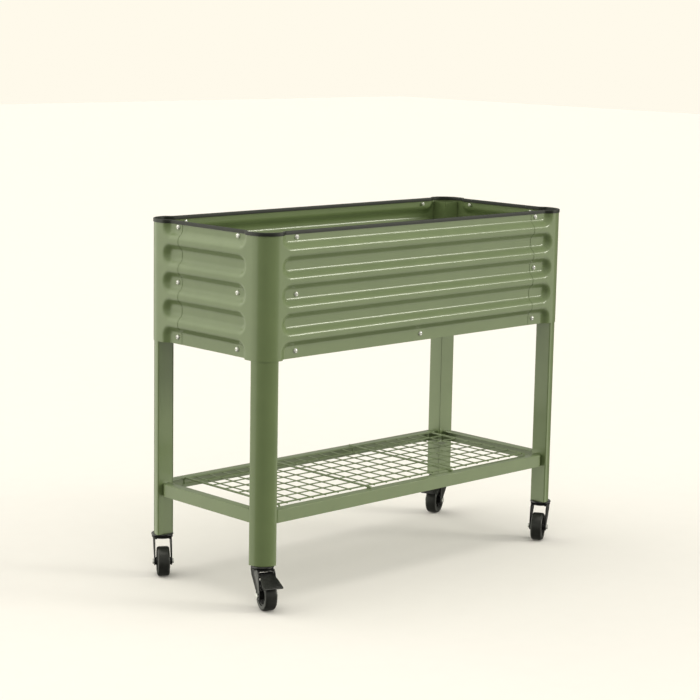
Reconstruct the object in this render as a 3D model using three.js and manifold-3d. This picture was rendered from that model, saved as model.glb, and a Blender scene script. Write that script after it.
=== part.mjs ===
// Raised planter on legs: a corrugated steel trough on four quarter-round legs, with a wire
// shelf between the legs and a swivel caster under each one.
// Millimetres, +Z up. +X runs along the trough, -Y is its front. The trough's centre is at
// x = y = 0 while the parts are made, and the whole group is then moved so that the origin is
// at the bottom centre of the box that the object fills.

import * as THREE from 'three';
import { mergeVertices } from 'three/addons/utils/BufferGeometryUtils.js';
import Module from 'manifold-3d';

const wasm = await Module();
wasm.setup();

// ---- driving dimensions ----------------------------------------------------------------

const LENGTH = 1000;          // over the flat faces of the trough
const WIDTH = 420;
const PANEL_TOP = 845;        // top edge of the sheet, inside the rim trim
const PANEL_BOTTOM = 562;
const SHEET = 1;              // steel thickness of the panels
const GAP = 0.4;              // between parts that rest on each other
const CORNER_RADIUS = 46.4;
const ARC_STEPS = 5;          // facets round a corner, alike for panels, trim and legs

const GROOVE_PITCH = 63.4;
const GROOVE_DEPTH = 13;
const GROOVE_COUNT = 5;
const TOP_GROOVE_Z = 832;
const GROOVE_FLOOR = 7;       // half width of the groove's flat floor
const GROOVE_LIP = 24.7;      // half width of the groove where it meets the flat face
const GROOVE_END_X = 420;     // centre of a groove's round end, on the long sides
const GROOVE_END_Y = 120;     // the same, on the short sides

const BOLT_X = 396;           // bolt columns on the long sides
const BOLT_Y = 105.4;           // bolt columns on the short sides
const SEAM_FROM_BOLT = 14;    // how far each overlap runs past its bolts
const BOLT_HOLE_RADIUS = 3.3;

const TRIM_TOP = 847;
const TRIM_BOTTOM = 838.8;
const TRIM_PROUD = 1.5;

const LEG_SIZE = 45;          // radius of the quarter-round section
const LEG_WALL = 2;
const LEG_BOTTOM = 98;
const LEG_TOP = 835;
const LEG_SEAM = 0.8;
const FOOT_PLATE = 4;

const FLOOR_TOP = 586.2;
const FLOOR_SHEET = 1.2;
const FLOOR_FLANGE_BOTTOM = 567;
const DRAIN_RADIUS = 6;

const RAIL_WIDTH = 25;
const RAIL_HEIGHT = 29.6;
const RAIL_WALL = 2;
const RAIL_TOP = 221.5;
const RAIL_INSET = 11;        // outer face of a rail behind the trough's flat face
const RAIL_BEND = 8;          // outer radius where a rail's ends turn in to the legs

const SHELF_BAR = 5;
const SHELF_WIRE = 3;
const SHELF_BAR_X = [-414, -138, 138, 414];
const SHELF_WIRES_PER_BAY = 6;
const SHELF_WIRE_PITCH = 39.7;
const SHELF_FIRST_WIRE = 27;  // first cross wire after a bar
const SHELF_LONG_WIRES = 8;
const SHELF_LONG_PITCH = 46;
const SHELF_FIRST_LONG = -163;
const SHELF_STUB = 5;         // how far the wires' ends run past the outermost wires
const SHELF_REST = 10;        // how far the bars reach over the rails
const SHELF_DROP = 15;        // depth of the turned-down edge inside the rails

const STEM_OFFSET = 18;       // caster stem from the leg's two flat faces
const WHEEL_RADIUS = 35;
const WHEEL_WIDTH = 29;
const TRAIL = 28;
const FORK_INNER = 18.5;      // half gap between the fork's arms
const FORK_PLATE = 2.5;
const CASTER_HEADINGS = {     // direction in which each wheel trails, degrees from +X
  front_left: -111,
  front_right: -148.3,
  back_left: -123.9,
  back_right: -156.1,
};
const BRAKED = ['front_left', 'back_right'];

// ---- values that follow from them ------------------------------------------------------

const LEG_INSET = SHEET + GAP;
const LEG_FLAT_X = LENGTH / 2 - LEG_INSET - LEG_SIZE;
const LEG_FLAT_Y = WIDTH / 2 - LEG_INSET - LEG_SIZE;
const SIDE_INSET = SHEET + GAP;
const SEAM_X = BOLT_X - SEAM_FROM_BOLT;
const SEAM_Y = BOLT_Y - SEAM_FROM_BOLT;
const PANEL_BACK = GROOVE_DEPTH + SIDE_INSET + SHEET;
const grooveZ = Array.from({ length: GROOVE_COUNT }, (_, i) => TOP_GROOVE_Z - i * GROOVE_PITCH);
const BOTTOM_GROOVE_Z = grooveZ[GROOVE_COUNT - 1];
const boltZ = [grooveZ[0], grooveZ[2], grooveZ[4]];
const corners = [
  { name: 'front_left', sx: -1, sy: -1 },
  { name: 'front_right', sx: 1, sy: -1 },
  { name: 'back_left', sx: -1, sy: 1 },
  { name: 'back_right', sx: 1, sy: 1 },
];

// ---- materials -------------------------------------------------------------------------

const green = new THREE.MeshStandardMaterial({ color: 0x7f8c66, roughness: 0.45, metalness: 0.15 });
const rubber = new THREE.MeshStandardMaterial({ color: 0x2b2c2b, roughness: 0.7 });
const blackSteel = new THREE.MeshStandardMaterial({ color: 0x1d1e1e, roughness: 0.45, metalness: 0.4 });
const tyreRubber = new THREE.MeshStandardMaterial({ color: 0x3b3c3c, roughness: 0.8 });
const nylon = new THREE.MeshStandardMaterial({ color: 0x161717, roughness: 0.4 });
const zinc = new THREE.MeshStandardMaterial({ color: 0xd6d7d4, roughness: 0.25, metalness: 0.95 });

// ---- helpers ---------------------------------------------------------------------------

const planter = new THREE.Group();

function add(name, geometry, material, parent = planter) {
  const mesh = new THREE.Mesh(geometry, material);
  mesh.name = name;
  parent.add(mesh);
  return mesh;
}

function toSolid(geometry) {
  const bare = geometry.clone();
  bare.deleteAttribute('normal');
  if (bare.hasAttribute('uv')) {
    bare.deleteAttribute('uv');
  }
  const merged = mergeVertices(bare, 1e-4);
  return new wasm.Manifold(new wasm.Mesh({
    numProp: 3,
    vertProperties: new Float32Array(merged.attributes.position.array),
    triVerts: new Uint32Array(merged.index.array),
  }));
}

function fromSolid(solid) {
  const mesh = solid.simplify(1e-3).getMesh();
  const geometry = new THREE.BufferGeometry();
  geometry.setAttribute('position', new THREE.BufferAttribute(mesh.vertProperties, 3));
  geometry.setIndex(new THREE.BufferAttribute(mesh.triVerts, 1));
  geometry.computeVertexNormals();
  return geometry;
}

function cut(geometry, tools) {
  let solid = toSolid(geometry);
  for (const tool of tools) {
    solid = solid.subtract(toSolid(tool));
  }
  return fromSolid(solid);
}

function join(geometries) {
  let solid = toSolid(geometries[0]);
  for (const geometry of geometries.slice(1)) {
    solid = solid.add(toSolid(geometry));
  }
  return fromSolid(solid);
}

function block(x0, x1, y0, y1, z0, z1) {
  const box = new THREE.BoxGeometry(Math.abs(x1 - x0), Math.abs(y1 - y0), Math.abs(z1 - z0));
  return box.translate((x0 + x1) / 2, (y0 + y1) / 2, (z0 + z1) / 2);
}

function rodZ(radius, x, y, z0, z1, sides = 12) {
  return new THREE.CylinderGeometry(radius, radius, z1 - z0, sides)
    .rotateX(Math.PI / 2)
    .translate(x, y, (z0 + z1) / 2);
}

function rodY(radius, x, z, length, y = 0, sides = 12) {
  return new THREE.CylinderGeometry(radius, radius, length, sides).translate(x, y, z);
}

function rodX(radius, y, z, length, x = 0, sides = 12) {
  return new THREE.CylinderGeometry(radius, radius, length, sides)
    .rotateZ(Math.PI / 2)
    .translate(x, y, z);
}

function turned(profile, sides) {
  return new THREE.LatheGeometry(profile.map(([r, y]) => new THREE.Vector2(r, y)), sides);
}

function slab(outline, z0, z1, holes = []) {
  const shape = new THREE.Shape(outline);
  shape.holes = holes.map((hole) => new THREE.Path(hole));
  return new THREE.ExtrudeGeometry(shape, { depth: z1 - z0, bevelEnabled: false }).translate(0, 0, z0);
}

// ---- corrugated sheet ------------------------------------------------------------------

// Depth of the grooved face behind the flat face. beyond is how far a point lies past the
// centre of the groove's round end. The sheet stays at the groove's depth above the top
// groove and below the bottom one.
function grooveDepth(beyond, z) {
  let rise = Math.min(...grooveZ.map((centre) => Math.abs(z - centre)));
  if (z > TOP_GROOVE_Z || z < BOTTOM_GROOVE_Z) {
    rise = 0;
  }
  const distance = Math.hypot(Math.max(beyond, 0), rise);
  const share = (GROOVE_LIP - distance) / (GROOVE_LIP - GROOVE_FLOOR);
  return GROOVE_DEPTH * THREE.MathUtils.clamp(share, 0, 1);
}

function sheetRows() {
  const edges = grooveZ.flatMap((centre) => [
    centre - GROOVE_LIP, centre - GROOVE_FLOOR, centre + GROOVE_FLOOR, centre + GROOVE_LIP,
  ]);
  const between = edges.filter((z) => z > BOTTOM_GROOVE_Z && z < TOP_GROOVE_Z);
  return [PANEL_BOTTOM, BOTTOM_GROOVE_Z, ...between, TOP_GROOVE_Z, PANEL_TOP].sort((p, q) => p - q);
}

// A column stands at a point of the flat face in plan, with its outward normal.
function sheetGeometry(columns, inset, mirrored = false) {
  const rows = sheetRows();
  const positions = [];
  for (const extra of [inset, inset + SHEET]) {
    for (const column of columns) {
      for (const z of rows) {
        const back = extra + grooveDepth(column.beyond, z) * (column.flat ? 1 : 0);
        positions.push(column.x - column.nx * back, column.y - column.ny * back, z);
      }
    }
  }
  const height = rows.length;
  const layer = columns.length * height;
  const index = [];
  const quad = (a, b, c, d) => {
    if (mirrored) {
      index.push(a, c, b, a, d, c);
    } else {
      index.push(a, b, c, a, c, d);
    }
  };
  for (let i = 0; i < columns.length - 1; i += 1) {
    for (let j = 0; j < height - 1; j += 1) {
      const a = i * height + j;
      quad(a, a + height, a + height + 1, a + 1);
      quad(layer + a, layer + a + 1, layer + a + height + 1, layer + a + height);
    }
    const low = i * height;
    const high = low + height - 1;
    quad(low, layer + low, layer + low + height, low + height);
    quad(high, high + height, layer + high + height, layer + high);
  }
  for (let j = 0; j < height - 1; j += 1) {
    const last = (columns.length - 1) * height + j;
    quad(j, j + 1, layer + j + 1, layer + j);
    quad(last, layer + last, layer + last + 1, last + 1);
  }
  const geometry = new THREE.BufferGeometry();
  geometry.setAttribute('position', new THREE.Float32BufferAttribute(positions, 3));
  geometry.setIndex(index);
  return geometry;
}

const grooveEndSteps = [0, GROOVE_FLOOR, GROOVE_LIP];

// Columns of one corner panel, from its seam on the long side round to its seam on the short
// side, for the corner with signs sx and sy.
function cornerColumns(sx, sy) {
  const arcX = LENGTH / 2 - CORNER_RADIUS;
  const arcY = WIDTH / 2 - CORNER_RADIUS;
  const long = [SEAM_X, ...grooveEndSteps.map((step) => GROOVE_END_X + step)].map((x) => ({
    x: sx * x, y: sy * WIDTH / 2, nx: 0, ny: sy, flat: true, beyond: x - GROOVE_END_X,
  }));
  const arc = Array.from({ length: ARC_STEPS + 1 }, (_, i) => {
    const angle = (Math.PI / 2) * (i / ARC_STEPS);
    const nx = sx * Math.sin(angle);
    const ny = sy * Math.cos(angle);
    return {
      x: sx * arcX + CORNER_RADIUS * nx, y: sy * arcY + CORNER_RADIUS * ny, nx, ny, flat: false, beyond: 0,
    };
  });
  const short = [SEAM_Y, ...grooveEndSteps.map((step) => GROOVE_END_Y + step)].reverse().map((y) => ({
    x: sx * LENGTH / 2, y: sy * y, nx: sx, ny: 0, flat: true, beyond: y - GROOVE_END_Y,
  }));
  return [...long, ...arc, ...short];
}

// Holes for the overlap bolts, as rods through the sheets on one side of the trough.
function longBoltHoles(sy, xs) {
  return xs.flatMap((x) => boltZ.map((z) => rodY(BOLT_HOLE_RADIUS, x, z, 60, sy * WIDTH / 2, 6)));
}

function shortBoltHoles(sx, ys) {
  return ys.flatMap((y) => boltZ.map((z) => rodX(BOLT_HOLE_RADIUS, y, z, 60, sx * LENGTH / 2, 6)));
}

for (const { name, sx, sy } of corners) {
  const sheet = sheetGeometry(cornerColumns(sx, sy), 0, sx * sy > 0);
  const holes = [...longBoltHoles(sy, [sx * BOLT_X]), ...shortBoltHoles(sx, [sy * BOLT_Y])];
  add(`corner_panel_${name}`, cut(sheet, holes), green);
}

for (const [name, sy] of [['panel_front', -1], ['panel_back', 1]]) {
  const end = BOLT_X + SEAM_FROM_BOLT;
  const columns = [-end, end].map((x) => ({
    x, y: sy * WIDTH / 2, nx: 0, ny: sy, flat: true, beyond: 0,
  }));
  const sheet = sheetGeometry(columns, SIDE_INSET, sy > 0);
  const centre = rodY(BOLT_HOLE_RADIUS, 0, BOTTOM_GROOVE_Z, 60, sy * WIDTH / 2, 6);
  add(name, cut(sheet, [...longBoltHoles(sy, [-BOLT_X, BOLT_X]), centre]), green);
}

for (const [name, sx] of [['panel_left', -1], ['panel_right', 1]]) {
  const end = BOLT_Y + SEAM_FROM_BOLT / 2;
  const columns = [-end, end].map((y) => ({
    x: sx * LENGTH / 2, y, nx: sx, ny: 0, flat: true, beyond: 0,
  }));
  const sheet = sheetGeometry(columns, SIDE_INSET, sx < 0);
  add(name, cut(sheet, shortBoltHoles(sx, [-BOLT_Y, BOLT_Y])), green);
}

// ---- rim trim --------------------------------------------------------------------------

// Outline of the trough's top edge in plan, set back by inset from the sheet's outer face.
function rimOutline(inset) {
  const arcX = LENGTH / 2 - CORNER_RADIUS;
  const arcY = WIDTH / 2 - CORNER_RADIUS;
  const radius = CORNER_RADIUS - inset;
  const deep = inset + GROOVE_DEPTH;
  const points = [];
  for (const [sx, sy] of [[1, 1], [-1, 1], [-1, -1], [1, -1]]) {
    const quarter = [
      [LENGTH / 2 - deep, GROOVE_END_Y + GROOVE_FLOOR],
      [LENGTH / 2 - inset, GROOVE_END_Y + GROOVE_LIP],
    ];
    for (let i = 0; i <= ARC_STEPS; i += 1) {
      const angle = (Math.PI / 2) * (i / ARC_STEPS);
      quarter.push([arcX + radius * Math.cos(angle), arcY + radius * Math.sin(angle)]);
    }
    quarter.push([GROOVE_END_X + GROOVE_LIP, WIDTH / 2 - inset]);
    quarter.push([GROOVE_END_X + GROOVE_FLOOR, WIDTH / 2 - deep]);
    const turn = sx * sy > 0 ? quarter : quarter.reverse();
    points.push(...turn.map(([x, y]) => new THREE.Vector2(sx * x, sy * y)));
  }
  return points;
}

const trimInner = SIDE_INSET + SHEET + TRIM_PROUD;
const trimRing = slab(rimOutline(-TRIM_PROUD), TRIM_BOTTOM, TRIM_TOP, [rimOutline(trimInner)]);
const trimSlot = slab(
  rimOutline(-GAP), TRIM_BOTTOM - 1, PANEL_TOP + GAP, [rimOutline(trimInner - TRIM_PROUD + GAP)],
);
add('rim_trim', cut(trimRing, [trimSlot]), rubber);

// ---- legs ------------------------------------------------------------------------------

function arcPoints(radius, from, to, steps) {
  return Array.from({ length: steps + 1 }, (_, i) => {
    const angle = from + (to - from) * (i / steps);
    return new THREE.Vector2(radius * Math.cos(angle), radius * Math.sin(angle));
  });
}

// Section of a leg about its inner corner, with the round side towards +X +Y. The sheet is
// rolled to a quarter circle, and its two edges meet in an open seam at the inner corner.
function legSection() {
  const inner = LEG_SIZE - LEG_WALL;
  const start = Math.asin(LEG_WALL / inner);
  return [
    new THREE.Vector2(0, 0),
    ...arcPoints(LEG_SIZE, 0, Math.PI / 2, ARC_STEPS),
    new THREE.Vector2(0, LEG_WALL + LEG_SEAM),
    new THREE.Vector2(LEG_WALL, LEG_WALL + LEG_SEAM),
    ...arcPoints(inner, Math.PI / 2 - start, start, ARC_STEPS),
    new THREE.Vector2(0, LEG_WALL),
  ];
}

function footPlateSection() {
  const edge = LEG_WALL / 2;
  const radius = LEG_SIZE - edge;
  const start = Math.asin(edge / radius);
  return [new THREE.Vector2(edge, edge), ...arcPoints(radius, start, Math.PI / 2 - start, ARC_STEPS)];
}

const STEM_RADIUS = 5;

// Turns the +X +Y corner's part to another corner, without mirroring it.
function cornerTurn(sx, sy) {
  if (sx > 0) {
    return sy > 0 ? 0 : -Math.PI / 2;
  }
  return sy > 0 ? Math.PI / 2 : Math.PI;
}

const legTube = slab(legSection(), LEG_BOTTOM, LEG_TOP);
const footPlate = cut(
  slab(footPlateSection(), LEG_BOTTOM, LEG_BOTTOM + FOOT_PLATE),
  [rodZ(STEM_RADIUS + GAP, STEM_OFFSET, STEM_OFFSET, LEG_BOTTOM - 1, LEG_BOTTOM + FOOT_PLATE + 1)],
);
const legGeometry = join([legTube, footPlate]);

for (const { name, sx, sy } of corners) {
  const leg = add(`leg_${name}`, legGeometry.clone(), green);
  leg.position.set(sx * LEG_FLAT_X, sy * LEG_FLAT_Y, 0);
  leg.rotation.z = cornerTurn(sx, sy);
}

// ---- trough floor and its beam ---------------------------------------------------------

const BEAM_HALF = 18;
const BEAM_TOP = FLOOR_TOP - FLOOR_SHEET - GAP;
const FLOOR_HALF_X = LENGTH / 2 - PANEL_BACK - GAP;
const FLOOR_HALF_Y = WIDTH / 2 - PANEL_BACK - GAP;
const FLOOR_CLEAR = 1;

// One half of the floor: a plate notched round the legs, with turned-down edges.
function floorHalf(sx) {
  const notchX = LEG_FLAT_X - FLOOR_CLEAR;
  const notchY = LEG_FLAT_Y - FLOOR_CLEAR;
  const outline = [
    [FLOOR_CLEAR / 2, -FLOOR_HALF_Y],
    [notchX, -FLOOR_HALF_Y],
    [notchX, -notchY],
    [FLOOR_HALF_X, -notchY],
    [FLOOR_HALF_X, notchY],
    [notchX, notchY],
    [notchX, FLOOR_HALF_Y],
    [FLOOR_CLEAR / 2, FLOOR_HALF_Y],
  ].map(([x, y]) => new THREE.Vector2(sx * x, y));
  const plate = slab(outline, FLOOR_TOP - FLOOR_SHEET, FLOOR_TOP);
  const flangeTop = FLOOR_TOP - FLOOR_SHEET / 2;
  const flangeStart = BEAM_HALF + 2;
  const parts = [plate];
  for (const sy of [-1, 1]) {
    parts.push(block(
      sx * flangeStart, sx * notchX,
      sy * FLOOR_HALF_Y, sy * (FLOOR_HALF_Y - FLOOR_SHEET), FLOOR_FLANGE_BOTTOM, flangeTop,
    ));
  }
  parts.push(block(
    sx * FLOOR_HALF_X, sx * (FLOOR_HALF_X - FLOOR_SHEET), -notchY, notchY, FLOOR_FLANGE_BOTTOM, flangeTop,
  ));
  const holes = [];
  for (const x of [110, 330]) {
    for (const y of [-100, 100]) {
      holes.push(rodZ(DRAIN_RADIUS, sx * x, y, FLOOR_TOP - 5, FLOOR_TOP + 5, 8));
    }
  }
  for (const sy of [-1, 1]) {
    holes.push(rodY(BOLT_HOLE_RADIUS + GAP, sx * BOLT_X, BOTTOM_GROOVE_Z, 20, sy * FLOOR_HALF_Y, 6));
    holes.push(rodX(BOLT_HOLE_RADIUS + GAP, sy * BOLT_Y, BOTTOM_GROOVE_Z, 20, sx * FLOOR_HALF_X, 6));
  }
  return cut(join(parts), holes);
}

add('floor_panel_left', floorHalf(-1), green);
add('floor_panel_right', floorHalf(1), green);

// The beam under the joint of the two floor halves: a channel with an end tab on each side.
function beamGeometry() {
  const wall = 1.5;
  const tabFace = FLOOR_HALF_Y;
  const parts = [
    block(-BEAM_HALF, BEAM_HALF, -tabFace, tabFace, BEAM_TOP - wall, BEAM_TOP),
  ];
  for (const sx of [-1, 1]) {
    parts.push(block(
      sx * BEAM_HALF, sx * (BEAM_HALF - wall), -tabFace + 12, tabFace - 12, FLOOR_FLANGE_BOTTOM, BEAM_TOP,
    ));
  }
  for (const sy of [-1, 1]) {
    parts.push(block(
      -BEAM_HALF, BEAM_HALF, sy * tabFace, sy * (tabFace - wall), FLOOR_FLANGE_BOTTOM, BEAM_TOP,
    ));
  }
  const holes = [-1, 1].map((sy) => rodY(BOLT_HOLE_RADIUS, 0, BOTTOM_GROOVE_Z, 10, sy * tabFace, 6));
  return cut(join(parts), holes);
}

add('cross_beam', beamGeometry(), green);

// ---- bolts on the long sides -----------------------------------------------------------

// A domed bolt with its washer and nut, made along +Y from the groove's floor outwards. grip
// is the thickness that it clamps.
function boltGeometry(grip) {
  const shank = BOLT_HOLE_RADIUS - 0.5;
  const nutFace = -grip - GAP;
  const nut = 4;
  const nutRadius = 4.4;
  return turned([
    [0, nutFace - nut],
    [nutRadius, nutFace - nut],
    [nutRadius, nutFace],
    [shank, nutFace],
    [shank, GAP],
    [6, GAP],
    [6, 1.2],
    [3.4, 3.9],
    [0, 4.2],
  ], 6);
}

const LAP = 2 * SHEET + GAP;
const boltHeights = { top: boltZ[0], middle: boltZ[1], bottom: boltZ[2] };

for (const [side, sy] of [['front', -1], ['back', 1]]) {
  for (const [end, sx] of [['left', -1], ['right', 1]]) {
    for (const [level, z] of Object.entries(boltHeights)) {
      const throughFloor = level === 'bottom' ? FLOOR_SHEET + GAP : 0;
      const bolt = add(`bolt_${side}_${end}_${level}`, boltGeometry(LAP + throughFloor), zinc);
      bolt.position.set(sx * BOLT_X, sy * (WIDTH / 2 - GROOVE_DEPTH), z);
      bolt.rotation.z = sy > 0 ? 0 : Math.PI;
    }
  }
  const centre = add(`bolt_${side}_centre`, boltGeometry(SHEET + GAP + 1.5), zinc);
  centre.position.set(0, sy * (WIDTH / 2 - GROOVE_DEPTH - SIDE_INSET), BOTTOM_GROOVE_Z);
  centre.rotation.z = sy > 0 ? 0 : Math.PI;
}

// ---- shelf rails -----------------------------------------------------------------------

const RAIL_BOTTOM = RAIL_TOP - RAIL_HEIGHT;

// Plan outline of a rail along X, with its outer face at y = 0 and rounded outer corners.
function railOutline(half, inset) {
  const radius = RAIL_BEND - inset;
  const bend = Array.from({ length: 4 }, (_, i) => (Math.PI / 2) * (i / 3));
  const right = bend.map((angle) => [
    half - RAIL_BEND + radius * Math.sin(angle), -RAIL_BEND + radius * Math.cos(angle),
  ]);
  const left = right.map(([x, y]) => [-x, y]).reverse();
  return [...left, ...right].map(([x, y]) => new THREE.Vector2(x, y));
}

// Folded sheet: an outer wall whose ends turn in against the legs, under a top flange.
function railGeometry(span) {
  const half = span / 2 - GAP;
  const outer = railOutline(half, 0);
  const inner = railOutline(half, RAIL_WALL);
  const back = (points, x) => [
    new THREE.Vector2(-x, -RAIL_WIDTH), ...points, new THREE.Vector2(x, -RAIL_WIDTH),
  ];
  const flange = slab(back(outer, half), RAIL_TOP - RAIL_WALL, RAIL_TOP);
  const wallOutline = [...back(outer, half), ...back(inner, half - RAIL_WALL).reverse()];
  const wall = slab(wallOutline, RAIL_BOTTOM, RAIL_TOP - RAIL_WALL / 2);
  return join([flange, wall]);
}

for (const [name, sy] of [['rail_front', -1], ['rail_back', 1]]) {
  const rail = add(name, railGeometry(2 * LEG_FLAT_X), green);
  rail.position.y = sy * (WIDTH / 2 - RAIL_INSET);
  rail.rotation.z = sy > 0 ? 0 : Math.PI;
}

for (const [name, sx] of [['rail_left', -1], ['rail_right', 1]]) {
  const rail = add(name, railGeometry(2 * LEG_FLAT_Y), green);
  rail.position.x = sx * (LENGTH / 2 - RAIL_INSET);
  rail.rotation.z = -sx * Math.PI / 2;
}

// ---- wire shelf ------------------------------------------------------------------------

const SHELF_BASE = RAIL_TOP + GAP;
const FLANGE_EDGE_Y = WIDTH / 2 - RAIL_INSET - RAIL_WIDTH;


const longWireY = Array.from({ length: SHELF_LONG_WIRES }, (_, i) => (
  SHELF_FIRST_LONG + i * SHELF_LONG_PITCH
));
const crossWireX = SHELF_BAR_X.slice(0, -1).flatMap((bar) => (
  Array.from({ length: SHELF_WIRES_PER_BAY }, (_, k) => bar + SHELF_FIRST_WIRE + k * SHELF_WIRE_PITCH)
));

// The bars rest on both long rails. Short legs inside the rails carry the lower edge wires
// that keep the shelf in place.
function shelfGeometry() {
  const barReach = FLANGE_EDGE_Y + SHELF_REST;
  const endX = SHELF_BAR_X[SHELF_BAR_X.length - 1] + SHELF_STUB;
  const firstY = longWireY[0] - SHELF_STUB;
  const lastY = longWireY[SHELF_LONG_WIRES - 1] + SHELF_STUB;
  const rectangle = (x0, x1, y0, y1) => (
    wasm.CrossSection.square([x1 - x0, y1 - y0]).translate([x0, y0])
  );
  const alongY = (x, from, to, thick) => rectangle(x - thick / 2, x + thick / 2, from, to);
  const outline = wasm.CrossSection.union([
    ...SHELF_BAR_X.map((x) => alongY(x, -barReach, barReach, SHELF_BAR)),
    ...crossWireX.map((x) => alongY(x, firstY, lastY, SHELF_WIRE)),
    ...longWireY.map((y) => rectangle(-endX, endX, y - SHELF_WIRE / 2, y + SHELF_WIRE / 2)),
  ]);
  const deck = outline.extrude(SHELF_BAR).translate([0, 0, SHELF_BASE]);
  const outer = FLANGE_EDGE_Y - GAP;
  const inner = outer - SHELF_WIRE;
  const low = SHELF_BASE - SHELF_DROP;
  const edges = [-1, 1].flatMap((sy) => [
    block(-endX, endX, sy * outer, sy * inner, low, low + SHELF_WIRE),
    ...SHELF_BAR_X.map((x) => block(
      x - 2, x + 2, sy * (outer - 0.5), sy * (inner + 0.5), low + 1, SHELF_BASE + 2,
    )),
  ]);
  return fromSolid(edges.reduce((solid, edge) => solid.add(toSolid(edge)), deck));
}

add('wire_shelf', shelfGeometry(), green);

// ---- casters ---------------------------------------------------------------------------

// Made about the stem's axis, with the wheel trailing towards +X and the floor at z = 0.

const RACE_RADIUS = 26;
const RACE_BOTTOM = 91.6;
const RACE_TOP = LEG_BOTTOM - GAP;
const CROWN_TOP = RACE_BOTTOM - GAP;
const CROWN_PLATE = 4;
const CROWN_RADIUS = 25;
const KINGPIN_RADIUS = 4.6;
const AXLE_RADIUS = 4;
const HUB_RADIUS = 24;
const PEDAL_PIVOT_X = 25;
const PEDAL_PIVOT_Z = 77;
const PEDAL_NECK = 15;        // half width of the brake lever between the fork's arms
const PEDAL_TREAD = 29;       // half width of its tread

// Stem, upper race and kingpin, which stay with the leg.
function stemGeometry() {
  const crownBottom = CROWN_TOP - CROWN_PLATE;
  return turned([
    [0, crownBottom - GAP - 3],
    [9, crownBottom - GAP - 3],
    [9, crownBottom - GAP],
    [KINGPIN_RADIUS, crownBottom - GAP],
    [KINGPIN_RADIUS, RACE_BOTTOM],
    [RACE_RADIUS - 3, RACE_BOTTOM],
    [RACE_RADIUS, RACE_BOTTOM + 2.5],
    [RACE_RADIUS, RACE_TOP],
    [STEM_RADIUS, RACE_TOP],
    [STEM_RADIUS, RACE_TOP + 26],
    [0, RACE_TOP + 26],
  ], 12).rotateX(Math.PI / 2);
}

// Side outline of a fork arm, from the crown down to the eye round the axle.
function armOutline() {
  const eye = 10;
  const points = [
    [-21, CROWN_TOP],
    [-21, CROWN_TOP - 12],
    [TRAIL - eye, WHEEL_RADIUS + 4],
  ];
  for (let i = 0; i <= 4; i += 1) {
    const angle = Math.PI * (1 + i / 4);
    points.push([TRAIL + eye * Math.cos(angle), WHEEL_RADIUS + eye * Math.sin(angle)]);
  }
  points.push([TRAIL + eye, WHEEL_RADIUS + 8], [31, CROWN_TOP - 17], [29, CROWN_TOP - 9], [21, CROWN_TOP]);
  return points.map(([x, z]) => new THREE.Vector2(x, z));
}

function forkGeometry() {
  const crown = cut(
    rodZ(CROWN_RADIUS, 0, 0, CROWN_TOP - CROWN_PLATE, CROWN_TOP, 16),
    [rodZ(KINGPIN_RADIUS + 2 * GAP, 0, 0, CROWN_TOP - 2 * CROWN_PLATE, CROWN_TOP + 1, 8)],
  );
  const arm = new THREE.ExtrudeGeometry(
    new THREE.Shape(armOutline()), { depth: FORK_PLATE, bevelEnabled: false },
  ).rotateX(Math.PI / 2);
  const near = arm.clone().translate(0, -FORK_INNER, 0);
  const far = arm.clone().translate(0, FORK_INNER + FORK_PLATE, 0);
  return cut(join([crown, near, far]), [rodY(AXLE_RADIUS + 2 * GAP, TRAIL, WHEEL_RADIUS, 60, 0, 8)]);
}

function tyreGeometry() {
  const half = WHEEL_WIDTH / 2;
  return turned([
    [HUB_RADIUS, -half + 2],
    [WHEEL_RADIUS - 5, -half],
    [WHEEL_RADIUS, -half + 8],
    [WHEEL_RADIUS, half - 8],
    [WHEEL_RADIUS - 5, half],
    [HUB_RADIUS, half - 2],
    [HUB_RADIUS, -half + 2],
  ], 16);
}

function hubGeometry() {
  const half = WHEEL_WIDTH / 2;
  const rim = HUB_RADIUS - 2 * GAP;
  const face = FORK_INNER - 0.5;
  const bore = AXLE_RADIUS + 2 * GAP;
  return turned([
    [bore, -face],
    [9, -face],
    [10, -half + 5],
    [rim, -half + 3],
    [rim, half - 3],
    [10, half - 5],
    [9, face],
    [bore, face],
    [bore, -face],
  ], 16);
}

// Axle bolt with its head and its nut, along Y.
function axleGeometry() {
  const outer = FORK_INNER + FORK_PLATE + GAP;
  return turned([
    [0, -outer - 4],
    [6.5, -outer - 4],
    [6.5, -outer],
    [AXLE_RADIUS, -outer],
    [AXLE_RADIUS, outer],
    [6.5, outer],
    [6.5, outer + 4],
    [0, outer + 4],
  ], 8);
}

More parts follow.
